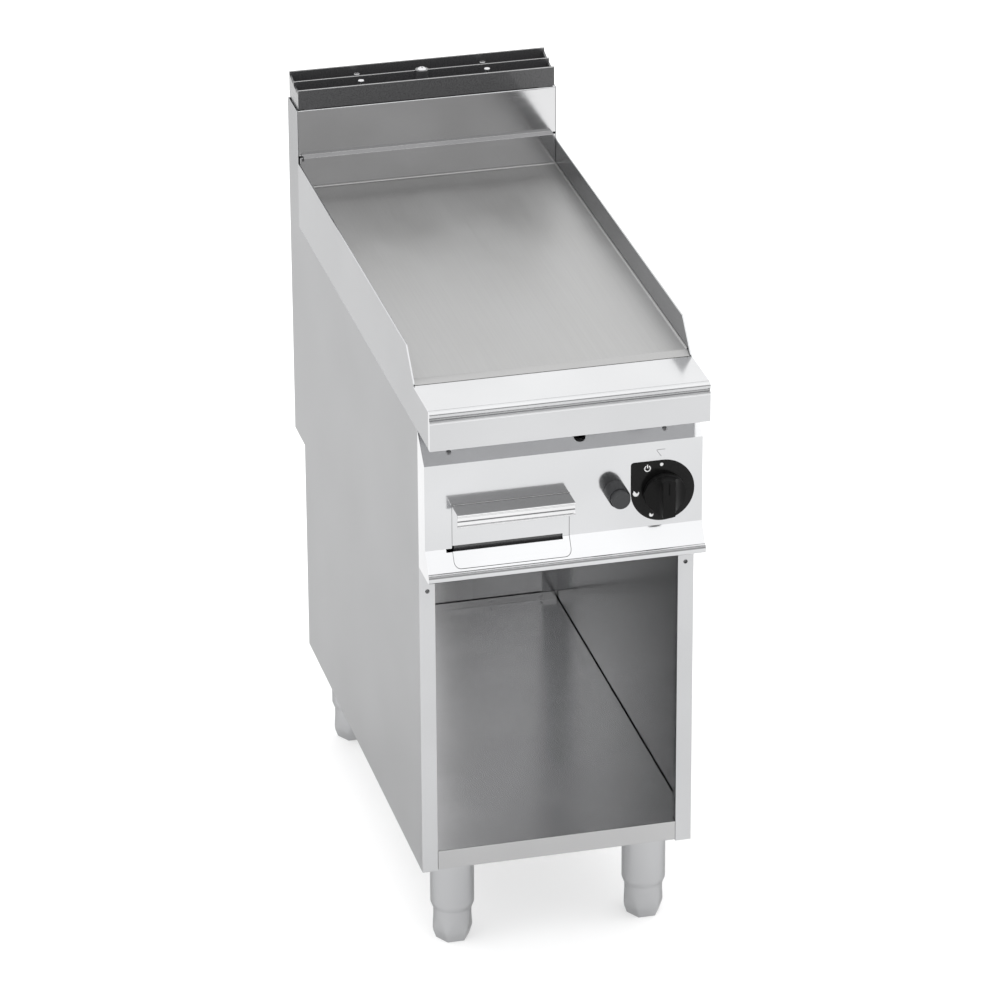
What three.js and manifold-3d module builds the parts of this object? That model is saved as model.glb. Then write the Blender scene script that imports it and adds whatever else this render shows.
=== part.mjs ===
// Free-standing gas griddle on an open cabinet: a 400 x 900 mm module of a cooking line.
// Millimetres, +X to the right, +Y to the rear, +Z up. The origin is on the floor, under the
// middle of the object's box.

import * as THREE from "three";
import { mergeVertices } from "three/addons/utils/BufferGeometryUtils.js";
import Module from "manifold-3d";

const wasm = await Module();
wasm.setup();

// ---------------------------------------------------------------- driving dimensions

const halfWidth = 200;          // the module is 400 wide
const frontFace = -450;         // fascia of the worktop
const rearFace = 450;           // rear cover
const cabinetFront = -375;      // front stiles and shelf
const cabinetRear = 381;        // lower rear panel, set in to leave room for the gas pipe
const cabinetBottom = 139;
const recessTop = 479;          // above this height the cabinet reaches the rear face
const skirtBottom = 838;        // underside of the worktop skirt
const worktopLevel = 896;
const plateLevel = 901;
const plateThickness = 15;
const guardTop = 940;
const flueFront = 386;
const flueTop = 1023;
const compartmentTop = 626;
const shelfLevel = 171;

const sheet = 1.5;              // stainless sheet of the cabinet
const thinSheet = 1.2;          // firebox, gutter and flue duct
const guardSheet = 2.5;
const gap = 0.3;                // clearance between pieces that touch
const inside = halfWidth - sheet;
const between = inside - gap;   // half width of what lies between the side panels
const guardInside = halfWidth - guardSheet;

const panelFace = -414;         // upright face of the control panel
const panelBend = 670;          // where the face turns into the sloped lip
const panelTop = 799;           // where the face turns into the 45 degree band

const drawer = { left: -161, right: 7, top: 733.5, bottom: 645, corner: 9, seam: 0.45 };
const knob = { x: 142, z: 723.5, radius: 30, front: -449.7 };
const igniter = { x: 72.7, z: 731, radius: 15.5, front: -449.7 };
const burner = { x: 70, z: 800, radius: 22, front: -345, rear: 300 };
const drain = { x: -130, y: -353.5, radius: 18 };
const legs = { x: 144, front: -322, rear: 328, radius: 32, footRadius: 28 };

const X = new THREE.Vector3(1, 0, 0);
const Y = new THREE.Vector3(0, 1, 0);
const Z = new THREE.Vector3(0, 0, 1);

// ---------------------------------------------------------------- materials

function finish(color, roughness, metalness) {
  return new THREE.MeshStandardMaterial({ color, roughness, metalness });
}

const stainless = finish(0xd4d6d8, 0.35, 0.9);
const darkStainless = finish(0xa2a5a8, 0.35, 0.9);
const plateSteel = finish(0xa8a9aa, 0.45, 0.9);
const galvanised = finish(0xb4b8ba, 0.5, 0.8);
const blackEnamel = finish(0x2c2d2f, 0.5, 0.2);
const castMetal = finish(0x8c8f92, 0.6, 0.7);
const glossBlack = finish(0x141414, 0.25, 0.0);
const greyPlastic = finish(0x44474a, 0.45, 0.0);
const brassFitting = finish(0xb79a58, 0.35, 0.9);
const pipeMetal = finish(0xb8bcc0, 0.4, 0.9);
const ceramic = finish(0xe8e4da, 0.5, 0.0);
const leadRubber = finish(0x2a2a2c, 0.7, 0.0);
const screwSteel = finish(0x8e9296, 0.35, 0.9);

// ---------------------------------------------------------------- geometry helpers

const sorted = (a, b) => (a < b ? [a, b] : [b, a]);

function box(xs, ys, zs) {
  const ranges = [xs, ys, zs].map(([a, b]) => sorted(a, b));
  const sizes = ranges.map(([low, high]) => high - low);
  const middles = ranges.map(([low, high]) => (low + high) / 2);
  return new THREE.BoxGeometry(...sizes).translate(...middles);
}

// A flat outline pushed along one axis. The outline is drawn in (y, z) for "x",
// in (x, z) for "y" and in (x, y) for "z".
function slab(outline, axis, [a, b]) {
  const [low, high] = sorted(a, b);
  const shape = outline instanceof THREE.Shape ? outline
    : new THREE.Shape(outline.map(([u, v]) => new THREE.Vector2(u, v)));
  const geometry = new THREE.ExtrudeGeometry(shape, {
    depth: high - low, bevelEnabled: false, curveSegments: 6,
  });
  const frame = new THREE.Matrix4();
  if (axis === "x") frame.makeBasis(Y, Z, X).setPosition(low, 0, 0);
  if (axis === "y") frame.makeBasis(X, Z, Y.clone().negate()).setPosition(0, high, 0);
  if (axis === "z") frame.setPosition(0, 0, low);
  return geometry.applyMatrix4(frame);
}

function signedVolume(geometry) {
  const place = geometry.attributes.position;
  const index = geometry.index ?? { count: place.count, getX: (i) => i };
  const corners = [new THREE.Vector3(), new THREE.Vector3(), new THREE.Vector3()];
  let sum = 0;
  for (let i = 0; i < index.count; i += 3) {
    corners.forEach((corner, k) => corner.fromBufferAttribute(place, index.getX(i + k)));
    sum += corners[0].dot(corners[1].clone().cross(corners[2]));
  }
  return sum / 6;
}

// The same surface as one welded mesh with its faces pointing out.
function welded(geometry) {
  const bare = geometry.clone();
  bare.deleteAttribute("normal");
  bare.deleteAttribute("uv");
  const merged = mergeVertices(bare, 1e-4);
  const used = Array.from(merged.index.array);
  const flip = signedVolume(merged) < 0;
  const kept = [];
  for (let i = 0; i < used.length; i += 3) {
    const [p, q, r] = used.slice(i, i + 3);
    if (p !== q && q !== r && r !== p) kept.push(...(flip ? [p, r, q] : [p, q, r]));
  }
  merged.setIndex(kept);
  return merged;
}

function solid(geometry) {
  const mesh = welded(geometry);
  return new wasm.Manifold(new wasm.Mesh({
    numProp: 3,
    vertProperties: Float32Array.from(mesh.attributes.position.array),
    triVerts: Uint32Array.from(mesh.index.array),
  }));
}

function geometryOf(manifold) {
  const mesh = manifold.getMesh();
  const geometry = new THREE.BufferGeometry();
  geometry.setAttribute("position", new THREE.BufferAttribute(mesh.vertProperties, 3));
  geometry.setIndex(new THREE.BufferAttribute(mesh.triVerts, 1));
  return geometry;
}

const join = (...parts) => geometryOf(parts.map(solid).reduce((a, b) => a.add(b)));
const cut = (body, ...tools) =>
  geometryOf(tools.map(solid).reduce((rest, tool) => rest.subtract(tool), solid(body)));
const common = (a, b) => geometryOf(solid(a).intersect(solid(b)));

// A profile of [radius, height] points turned about an axis of the frame: up, or outwards
// from the front ("out", where height is the distance in front of y = 0).
function turned(profile, axis = "up", segments = 24) {
  const points = profile.map(([radius, height]) => new THREE.Vector2(radius, height));
  const geometry = new THREE.LatheGeometry(points, segments);
  geometry.rotateX(axis === "up" ? Math.PI / 2 : Math.PI);
  return welded(geometry);
}

// A round bar from one level to another, along x, y or z, through a point across it.
function bar(axis, radius, [a, b], [u, v], segments = 16) {
  const [low, high] = sorted(a, b);
  const geometry = new THREE.CylinderGeometry(radius, radius, high - low, segments);
  const middle = (low + high) / 2;
  if (axis === "x") return geometry.rotateZ(Math.PI / 2).translate(middle, u, v);
  if (axis === "y") return geometry.translate(u, middle, v);
  return geometry.rotateX(Math.PI / 2).translate(u, v, middle);
}

// Closed outline of a folded sheet: the path is one face, the other lies to its left.
function folded(path, thickness) {
  const direction = (a, b) => new THREE.Vector2(b[0] - a[0], b[1] - a[1]).normalize();
  const otherFace = path.map((point, i) => {
    const before = direction(path[Math.max(i - 1, 0)], path[Math.max(i, 1)]);
    const last = path.length - 1;
    const after = direction(path[Math.min(i, last - 1)], path[Math.min(i + 1, last)]);
    const normal = new THREE.Vector2(-before.y - after.y, before.x + after.x);
    const mitre = thickness / (1 + before.dot(after));
    return [point[0] + normal.x * mitre, point[1] + normal.y * mitre];
  });
  return [...path, ...otherFace.reverse()];
}

// Points along an arc in a plane, angles in degrees, both ends included.
function arc([u, v], radius, from, to, steps) {
  return Array.from({ length: steps + 1 }, (_, i) => {
    const angle = THREE.MathUtils.degToRad(from + ((to - from) * i) / steps);
    return [u + radius * Math.cos(angle), v + radius * Math.sin(angle)];
  });
}

// A route through given points with rounded bends, stepped only where it turns.
class Route extends THREE.Curve {
  constructor(points, bendRadius, bendSteps = 4) {
    super();
    const corners = points.map((point) => new THREE.Vector3(...point));
    this.stops = [corners[0]];
    for (let i = 1; i < corners.length - 1; i++) {
      const start = corners[i].clone().lerp(corners[i - 1],
        bendRadius / corners[i].distanceTo(corners[i - 1]));
      const end = corners[i].clone().lerp(corners[i + 1],
        bendRadius / corners[i].distanceTo(corners[i + 1]));
      const bend = new THREE.QuadraticBezierCurve3(start, corners[i], end);
      this.stops.push(...bend.getPoints(bendSteps));
    }
    this.stops.push(corners[corners.length - 1]);
  }

  getPoint(t) {
    const place = t * (this.stops.length - 1);
    const i = Math.min(Math.floor(place), this.stops.length - 2);
    return this.stops[i].clone().lerp(this.stops[i + 1], place - i);
  }

  getPointAt(t) {
    return this.getPoint(t);
  }

  getTangentAt(t) {
    const step = 0.5 / (this.stops.length - 1);
    const ahead = this.getPoint(Math.min(t + step, 1));
    return ahead.sub(this.getPoint(Math.max(t - step, 0))).normalize();
  }
}

function pipe(points, radius, bendRadius, sides = 10) {
  const route = new Route(points, bendRadius);
  const section = new THREE.Shape(arc([0, 0], radius, 0, 360 - 360 / sides, sides - 1)
    .map(([u, v]) => new THREE.Vector2(u, v)));
  return welded(new THREE.ExtrudeGeometry(section, {
    steps: route.stops.length - 1, bevelEnabled: false, extrudePath: route,
  }));
}

const griddle = new THREE.Group();

function add(name, geometry, material, parent = griddle) {
  const mesh = new THREE.Mesh(geometry, material);
  mesh.name = name;
  parent.add(mesh);
  return mesh;
}

// ---------------------------------------------------------------- cabinet

const stileWidth = 23;
const returnDepth = 15;
const rearFlangeWidth = 25.5;
const stileScrewHeight = 588;
const stileScrewX = 188;
const runnerHoleHeights = [267, 365, 417, 440, 456, 545, 563, 587];

// One folded sheet: outer skin, front stile with its return, rear and bottom flanges.
function sidePanel(side) {
  const at = (...distances) => distances.map((distance) => side * distance);
  const skin = slab([
    [cabinetFront, cabinetBottom], [cabinetRear, cabinetBottom], [cabinetRear, recessTop],
    [rearFace, recessTop], [rearFace, flueTop], [flueFront, flueTop],
    [flueFront, skirtBottom - gap], [cabinetFront, skirtBottom - gap],
  ], "x", at(halfWidth, inside));
  const stileFront = [cabinetFront, cabinetFront + sheet];
  const stile = box(at(halfWidth, halfWidth - stileWidth), stileFront,
    [cabinetBottom, skirtBottom - gap]);
  const stileReturn = box(at(halfWidth - stileWidth, halfWidth - stileWidth + sheet),
    [cabinetFront, cabinetFront + returnDepth], [cabinetBottom, compartmentTop - 1]);
  const flangeRear = cabinetRear - sheet - gap;
  const rearFlange = box(at(halfWidth, halfWidth - rearFlangeWidth),
    [flangeRear - sheet, flangeRear], [cabinetBottom, compartmentTop - gap]);
  const bottomFlange = box(at(halfWidth, halfWidth - returnDepth), [cabinetFront, flangeRear],
    [cabinetBottom, cabinetBottom + sheet]);
  const screwHole = bar("y", 3.2, [cabinetFront - 1, cabinetFront + sheet + 1],
    [side * stileScrewX, stileScrewHeight], 12);
  const runnerHoles = runnerHoleHeights.map((height) =>
    bar("x", 2, at(halfWidth - stileWidth - 1, halfWidth - stileWidth + sheet + 1),
      [cabinetFront + returnDepth / 2, height], 8));
  return cut(join(skin, stile, stileReturn, rearFlange, bottomFlange), screwHole, ...runnerHoles);
}

function rearPanel() {
  return box([-between, between], [cabinetRear - sheet, cabinetRear],
    [cabinetBottom + sheet + gap, compartmentTop - gap]);
}

// Upper rear cover with the step that closes the recess, and the hole for the gas inlet.
function rearCover() {
  const wall = box([-between, between], [rearFace - sheet, rearFace],
    [recessTop, flueTop - gap]);
  const step = box([-between, between], [cabinetRear + gap, rearFace],
    [recessTop, recessTop + sheet]);
  return cut(join(wall, step), bar("z", 13, [recessTop - 1, recessTop + 3],
    [gasInlet.x, gasInlet.y], 16));
}

// Shelf sheet with flanges down all round, narrowed at the front to pass the stile returns,
// and an upstand along its rear edge.
const upstandTop = 182.5;
function bottomShelf() {
  const shelfRear = cabinetRear - 2 * sheet - 2 * gap;
  const shelfHalf = inside - 1.2;
  const outline = (inset) => {
    const front = cabinetFront + inset;
    const rear = shelfRear - inset;
    const wide = shelfHalf - inset;
    const narrow = halfWidth - stileWidth - gap - inset;
    const shoulder = cabinetFront + returnDepth + gap + inset;
    return [[-narrow, front], [narrow, front], [narrow, shoulder], [wide, shoulder],
      [wide, rear], [-wide, rear], [-wide, shoulder], [-narrow, shoulder]];
  };
  const flangeBottom = cabinetBottom + sheet + 2 * gap;
  const upstand = box([-shelfHalf, shelfHalf], [shelfRear - sheet, shelfRear],
    [shelfLevel - sheet / 2, upstandTop]);
  return cut(join(slab(outline(0), "z", [flangeBottom, shelfLevel]), upstand),
    slab(outline(sheet), "z", [flangeBottom - 1, shelfLevel - sheet]));
}

function compartmentCeiling() {
  return box([-between, between], [cabinetFront + sheet + gap, cabinetRear - 2 * sheet],
    [compartmentTop, compartmentTop + sheet]);
}

// Inverted channel under the shelf that carries a pair of legs.
const channelHalfDepth = 35.8;
function baseChannel(y) {
  const top = shelfLevel - sheet - gap;
  const bottom = cabinetBottom + sheet + 2 * gap;
  const reach = channelHalfDepth;
  const path = [[y - reach, bottom], [y - reach, top], [y + reach, top], [y + reach, bottom]];
  const halfLength = inside - 2 - sheet - gap;
  return slab(folded(path.reverse(), sheet), "x", [-halfLength, halfLength]);
}

// ---------------------------------------------------------------- control panel

const lip = { top: 642, front: -436, bottom: 627.7, radius: 5 };

// Outer face of the panel in (y, z), from the band under the worktop to the underside.
const panelPath = [
  [cabinetFront - gap, skirtBottom - gap], [panelFace, panelTop], [panelFace, panelBend],
  [-432, lip.top], [-434.8, 639], [lip.front, 635.5],
  ...arc([lip.front + lip.radius, lip.bottom + lip.radius], lip.radius, 180, 270, 3),
  [cabinetFront - gap, lip.bottom],
];

const bandAngle = Math.atan2(skirtBottom - gap - panelTop, cabinetFront - gap - panelFace);

// A round bar square to the 45 degree band, its ends measured out from the band's face.
function bandBar(radius, [low, high], x, z, segments = 12) {
  const y = panelFace + (z - panelTop) / Math.tan(bandAngle);
  const geometry = new THREE.CylinderGeometry(radius, radius, high - low, segments);
  return geometry.translate(0, (low + high) / 2, 0).rotateX(bandAngle + Math.PI / 2)
    .translate(x, y, z);
}

// Outline of the drawer front in (x, z), grown by a margin, with round lower corners.
function drawerOutline(margin) {
  const { left, right, top, bottom, corner } = drawer;
  const radius = corner + margin;
  return [
    [right + margin, top], [left - margin, top],
    ...arc([left + corner, bottom + corner], radius, 180, 270, 5),
    ...arc([right - corner, bottom + corner], radius, 270, 360, 5),
  ];
}

// Slot across the drawer front, and the narrow end of it that runs on into the panel.
const slot = { left: -161.5, right: -2.6, bottom: 666.2, top: 673.6 };
const slotEnd = { left: -170, bottom: 665.6, top: 669.8 };

function slotCutter({ left, bottom, top }) {
  return box([left, slot.right], [panelFace - 20, panelFace + 20], [bottom, top]);
}

function controlPanel() {
  const strip = slab(folded(panelPath, sheet), "x", [-halfWidth, halfWidth]);
  const cheeks = [-1, 1].map((side) =>
    slab(panelPath, "x", [side * halfWidth, side * inside]));
  const depths = [panelFace - 30, cabinetFront - 5];
  const { left, right, seam } = drawer;
  const openings = [
    box([-halfWidth - 1, halfWidth + 1], [cabinetFront - gap, cabinetFront + 10],
      [lip.bottom - 5, skirtBottom + 5]),
    slab(drawerOutline(seam), "y", depths),
    box([left - seam, right + seam], depths, [drawer.top - 1, drawer.top + 3]),
    slotCutter(slotEnd),
    bar("y", 6, depths, [knob.x, knob.z], 16),
    bar("y", 11.3, depths, [igniter.x, igniter.z], 16),
    bandBar(sightHole.radius, [-6, 6], sightHole.x, sightHole.z, 20),
    ...bandScrewPlaces.map(([x, z]) => bandBar(2.2, [-4, 4], x, z, 8)),
  ];
  return cut(join(strip, ...cheeks), ...openings);
}

const sightHole = { x: 25.6, z: 813.4, radius: 8.6 };
const bandScrewPlaces = [[-162, 811.5], [148, 811.5]];

function bandScrew([x, z]) {
  return join(bandBar(3.6, [gap, 1.9], x, z), bandBar(1.9, [-8, 1.2], x, z, 8));
}

function stileScrew(side) {
  const place = [side * stileScrewX, stileScrewHeight];
  const face = cabinetFront;
  return join(bar("y", 2.8, [face + 0.6, face + 2.4], place, 12),
    bar("y", 1.9, [face + 1, face + 11], place, 8));
}

// ---------------------------------------------------------------- worktop and plate

// Outer face of the worktop's front strip in (y, z): drip edge, flat, bullnose, groove,
// bead, fascia and its return.
const worktopRear = -355.5;
const noseRear = -441;
const nosePath = [
  [noseRear, worktopLevel], ...arc([-444.5, 890.5], 5.2, 75, 215, 6),
  [-447.2, 885.6], [-447.6, 883.8], [-449.6, 882.6], [frontFace, 880.8], [-449.4, 879],
  [frontFace, 878], [frontFace, skirtBottom],
];

function worktopFront() {
  const returnRear = cabinetFront + 3;
  const core = slab([
    [worktopRear, 885], [worktopRear, worktopLevel], ...nosePath,
    [returnRear, skirtBottom], [returnRear, skirtBottom + sheet],
    [frontFace + sheet, skirtBottom + sheet],
    [frontFace + sheet, 877], [-445, 879.5], [-444, worktopLevel - sheet],
    [worktopRear - sheet, worktopLevel - sheet], [worktopRear - sheet, 885],
  ], "x", [-(guardInside - gap), guardInside - gap]);
  const overSkirts = box([-halfWidth, halfWidth], [noseRear - 1, worktopRear],
    [worktopLevel - sheet, worktopLevel]);
  const noseEnds = [-1, 1].map((side) => slab([...nosePath, [noseRear, skirtBottom]],
    "x", [side * halfWidth, side * (guardInside - gap - 1)]));
  return join(core, overSkirts, ...noseEnds);
}

// Side guard and the skirt below it, cut from one plate.
function splashGuard(side) {
  const underTop = worktopLevel - sheet - gap;
  const front = worktopRear + gap + 0.5;
  return slab([
    [noseRear + gap, skirtBottom], [flueFront - gap, skirtBottom],
    [flueFront - gap, guardTop], [-312, guardTop], [-353, 900], [front, 898],
    [front, underTop], [noseRear + gap, underTop],
  ], "x", [side * halfWidth, side * guardInside]);
}

const plateRear = 381.5;
const coveRadius = 3;

// Thick plate with its front edge sloped to the gutter and coves up the sides and rear.
function griddlePlate() {
  const side = guardInside - gap;
  const bottom = plateLevel - plateThickness;
  const front = -353.9;
  const body = slab([
    [-341, plateLevel], [front, plateLevel - 4.8], [front, bottom], [plateRear, bottom],
    [plateRear, plateLevel],
  ], "x", [-side, side]);
  const sideCove = (sign) => {
    const centre = [sign * (side - coveRadius), plateLevel + coveRadius];
    const curve = sign > 0 ? arc(centre, coveRadius, 270, 360, 4)
      : arc(centre, coveRadius, 270, 180, 4);
    return slab([...curve, [sign * side, plateLevel - 1],
      [sign * (side - coveRadius), plateLevel - 1]], "y", [-341, plateRear]);
  };
  const centre = [plateRear - coveRadius, plateLevel + coveRadius];
  const rearCove = slab([...arc(centre, coveRadius, 270, 360, 4), [plateRear, plateLevel - 1],
    [plateRear - coveRadius, plateLevel - 1]], "x", [-side, side]);
  return join(body, sideCove(-1), sideCove(1), rearCove);
}

function rearSplash() {
  const side = guardInside - gap;
  return box([-side, side], [plateRear + gap, plateRear + gap + sheet],
    [plateLevel - plateThickness, 949.5]);
}

// Flue front with the drip ledge folded over the rear splash wall.
const ledge = { level: 953, front: 373, lip: 941, halfWidth: 192.5 };
function flueFrontPanel() {
  const path = [
    [flueFront + 10, flueTop], [flueFront, flueTop], [flueFront, ledge.level],
    [ledge.front, ledge.level - 0.8], [ledge.front, ledge.lip],
  ];
  const sheetBody = slab(folded(path, sheet), "x", [-between, between]);
  const trims = [-1, 1].map((side) => box([side * ledge.halfWidth, side * halfWidth],
    [ledge.front - 5, flueFront - gap], [ledge.lip - 5, ledge.level + 5]));
  return cut(sheetBody, ...trims);
}

// ---------------------------------------------------------------- flue and firebox

const duct = { front: 389, rear: rearFace - sheet - gap, half: 195, bottom: 838, top: 1020 };
const throat = { half: 150, bottom: 850, top: 880 };

function flueDuct() {
  const { front, rear, half, bottom, top } = duct;
  const shell = box([-half, half], [front, rear], [bottom, top]);
  const hollow = box([-half + thinSheet, half - thinSheet],
    [front + thinSheet, rear - thinSheet], [bottom + thinSheet, top + 1]);
  const window = box([-throat.half, throat.half], [front - 1, front + 5],
    [throat.bottom, throat.top]);
  return cut(shell, hollow, window);
}

const screwRadius = 3;
const grillCentre = 419.5;

function flueCrossBar() {
  const half = duct.half - thinSheet - gap;
  return cut(box([-half, half], [grillCentre - 10, grillCentre + 10], [1005, 1008]),
    bar("z", screwRadius + gap, [1000, 1012], [0, grillCentre], 12));
}

const firebox = { half: 180, front: -335, rear: 378, bottom: 760, top: 885.5 };

// Open-topped combustion box: an air opening in its floor, burner holes in its front and a
// collar at the rear that enters the flue duct.
function fireboxShell() {
  const { half, front, rear, bottom, top } = firebox;
  const inner = [-half + thinSheet, half - thinSheet];
  const shell = box([-half, half], [front, rear], [bottom, top]);
  const collarHalf = throat.half - 2;
  const collar = box([-collarHalf, collarHalf], [rear - 2, duct.front + 6],
    [throat.bottom + 2, throat.top - 2]);
  const collarHollow = box([-collarHalf + thinSheet, collarHalf - thinSheet],
    [rear - 4, duct.front + 8], [throat.bottom + 2 + thinSheet, throat.top - 2 - thinSheet]);
  const hollow = box(inner, [front + thinSheet, rear - thinSheet],
    [bottom + thinSheet, top + 1]);
  const airOpening = box([-110, 110], [-270, 280], [bottom - 1, bottom + 5]);
  const frontHole = (radius, x, z) => bar("y", radius, [front - 2, front + 4], [x, z], 16);
  return cut(join(shell, collar), hollow, collarHollow, airOpening,
    frontHole(burner.radius + 1, -burner.x, burner.z),
    frontHole(burner.radius + 1, burner.x, burner.z),
    frontHole(9, sightHole.x, sightHole.z + 12),
    frontHole(4, pilot.x, pilot.pipeZ), frontHole(4, pilot.x + 14, pilot.leadZ),
    frontHole(4, pilot.x - 14, pilot.leadZ));
}

// Angle on each side panel that the firebox and the plate rest on.
function supportRail(side) {
  const level = 846;
  const at = (...distances) => distances.map((distance) => side * distance);
  return join(box(at(guardInside - gap, guardInside - gap - sheet), [-330, 370], [level, 885]),
    box(at(guardInside - gap, firebox.half + gap), [-330, 370], [884, 885.5]));
}

// Burner tube: closed at the rear, open at its mouth, with a row of slots along the top.
function burnerTube(side) {
  const x = side * burner.x;
  const { radius, front, rear, z } = burner;
  const tube = bar("y", radius, [front, rear], [x, z], 20);
  const bore = bar("y", radius - sheet, [front - 1, rear - 3], [x, z], 20);
  const slotCount = 11;
  const slots = Array.from({ length: slotCount }, (_, i) => {
    const y = -250 + (i * 500) / (slotCount - 1);
    return box([x - 9, x + 9], [y - 1.5, y + 1.5], [z + 10, z + radius + 1]);
  });
  return cut(tube, bore, ...slots);
}

// ---------------------------------------------------------------- gas train

const gasInlet = { x: 150, y: 415 };
const rail = { y: -391, radius: 7, end: -85 };
const valve = { front: -409, rear: -372, half: 22, x: knob.x, z: knob.z };
const pilot = { x: 26, y: -312, pipeZ: 772, leadZ: 770 };

function valveBody() {
  const { front, rear, half, x, z } = valve;
  const block = box([x - half, x + half], [front + 6, rear], [z - half, z + half]);
  const bonnet = bar("y", 14, [front, front + 8], [x, z], 16);
  const bore = bar("y", 4.6, [front - 1, rear - 4], [x, z], 16);
  return cut(join(block, bonnet), bore);
}

// The stem is hollow: the push rod runs through it to the safety valve.
function valveStem() {
  return cut(bar("y", 4.2, [-436, -388], [knob.x, knob.z], 16),
    bar("y", 2.1, [-440, -380], [knob.x, knob.z], 12));
}

function valvePushRod() {
  return bar("y", 1.8, [-434, -382], [knob.x, knob.z], 12);
}

function burnerRail() {
  const { y, radius, end } = rail;
  return pipe([[end, y, burner.z], [130, y, burner.z],
    [130, y, valve.z + valve.half + gap]], radius, 14);
}

function injector(side) {
  const place = [side * burner.x, burner.z];
  const rear = rail.y + rail.radius + gap;
  return cut(join(bar("y", 7.5, [rear, rear + 16], place, 6),
    bar("y", 4.5, [rear + 14, burner.front - 4], place, 12)),
    bar("y", 1.2, [rear + 8, burner.front], place, 8));
}

function supplyPipe() {
  const { x, y } = gasInlet;
  const level = valve.z - 12;
  return pipe([[x, y, recessTop + 4], [x, y, level], [x, valve.rear + gap, level]], 8, 30);
}

function inletFitting() {
  const { x, y } = gasInlet;
  const hexagon = bar("z", 18, [recessTop - 7, recessTop - gap], [x, y], 6);
  const spigot = bar("z", 10.5, [recessTop - 27, recessTop - 5], [x, y], 20);
  const neck = bar("z", 10.5, [recessTop - 2, recessTop + 4 - gap], [x, y], 20);
  return cut(join(hexagon, spigot, neck),
    bar("z", 7, [recessTop - 30, recessTop + 10], [x, y], 16));
}

function pilotBurner() {
  const { x, y } = pilot;
  const floor = firebox.bottom + thinSheet + gap;
  return join(box([x - 24, x + 24], [y - 9, y + 9], [floor, floor + 2]),
    bar("z", 6, [floor + 1, floor + 38], [x, y], 12));
}

function pilotPipe() {
  const { x, y, pipeZ } = pilot;
  return pipe([[x, y - 6 - gap, pipeZ], [x, -362, pipeZ], [158, -362, pipeZ], [158, -385, pipeZ],
    [158, -385, valve.z + valve.half + gap]], 2.5, 7, 8);
}

const probeFloor = firebox.bottom + thinSheet + 2 * gap + 2;

function thermocouple() {
  const { y, leadZ } = pilot;
  const x = pilot.x - 14;
  const lead = pipe([[x, y - 1, leadZ], [x, -348, leadZ], [x, -348, 750], [134, -348, 750],
    [134, -348, valve.z + 11], [134, valve.rear + gap, valve.z + 11]], 1.5, 6, 8);
  return join(bar("z", 3, [probeFloor, probeFloor + 42], [x, y], 12), lead);
}

function sparkElectrode() {
  const place = [pilot.x + 14, pilot.y];
  return join(bar("z", 3.6, [probeFloor, probeFloor + 34], place, 12),
    bar("z", 1.2, [probeFloor + 30, probeFloor + 48], place, 8));
}

function ignitionLead() {
  const x = pilot.x + 14;
  return pipe([[igniter.x, -350 + gap, igniter.z], [igniter.x, -341, igniter.z],
    [x, -341, pilot.leadZ], [x, pilot.y - 3.6 - gap, pilot.leadZ]], 1.6, 5, 8);
}

// ---------------------------------------------------------------- knob and igniter

// Round at the right and below, square at its upper left corner.
function escutcheonOutline(radius, corner) {
  const outline = new THREE.Shape();
  outline.absarc(0, 0, radius, Math.PI / 2, -Math.PI, true);
  outline.lineTo(-radius, radius - corner);
  outline.absarc(-radius + corner, radius - corner, corner, Math.PI, Math.PI / 2, true);
  outline.closePath();
  return outline;
}

function knobEscutcheon() {
  const outline = new THREE.Shape(escutcheonOutline(46, 5).getPoints(14));
  const plate = slab(outline, "y", [panelFace - gap, panelFace - gap - 1.3])
    .translate(knob.x, 0, knob.z);
  return cut(plate, bar("y", 6, [panelFace - 4, panelFace + 2], [knob.x, knob.z], 16));
}

// Round knob with a scoop on each side that leaves an upright grip.
function controlKnob() {
  const depth = 28;
  const base = knob.front + depth;
  const body = turned([[0, 0], [knob.radius, 0], [knob.radius, 7], [knob.radius - 1, 9],
    [knob.radius - 1.5, depth - 2], [knob.radius - 3, depth], [0, depth]], "out", 32)
    .translate(knob.x, base, knob.z);
  const scoops = [-1, 1].map((side) =>
    bar("z", 21, [knob.z - 40, knob.z + 40], [knob.x + side * 30, knob.front], 24));
  const socket = bar("y", 4.5, [base - 16, base + 1], [knob.x, knob.z], 16);
  return cut(body, ...scoops, socket);
}

// Igniter barrel: the bezel in front of the panel and the piezo body behind it, in one.
function piezoBody() {
  const front = igniter.front + 8.5;
  const place = [igniter.x, igniter.z];
  const bezel = bar("y", igniter.radius, [front, panelFace - gap], place, 32);
  const barrel = bar("y", 11, [panelFace - 2, -350], place, 20);
  return cut(join(bezel, barrel), bar("y", 13.9, [front - 1, panelFace - 5], place, 32),
    bar("y", 5.3, [front - 1, -394], place, 16));
}

function igniterButton() {
  const cap = turned([[0, 0], [13.6, 0], [13.6, 18.5], [12.4, 20], [0, 20]], "out", 32)
    .translate(igniter.x, igniter.front + 20, igniter.z);
  return join(cap, bar("y", 5, [igniter.front + 19, -404], [igniter.x, igniter.z], 16));
}

// ---------------------------------------------------------------- grease drain and drawer

const gutter = { front: -371, rear: -338.5, bottom: 868, top: 884, half: 190 };

function greaseGutter() {
  const { front, rear, bottom, top, half } = gutter;
  return cut(box([-half, half], [front, rear], [bottom, top]),
    box([-half + thinSheet, half - thinSheet], [front + thinSheet, rear - thinSheet],
      [bottom + thinSheet, top + 1]),
    bar("z", drain.radius - 4, [bottom - 1, bottom + 5], [drain.x, drain.y], 20));
}

function drainChute() {
  const place = [drain.x, drain.y];
  return cut(bar("z", drain.radius, [722, gutter.bottom - gap], place, 20),
    bar("z", drain.radius - sheet, [721, gutter.bottom], place, 20));
}

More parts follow.
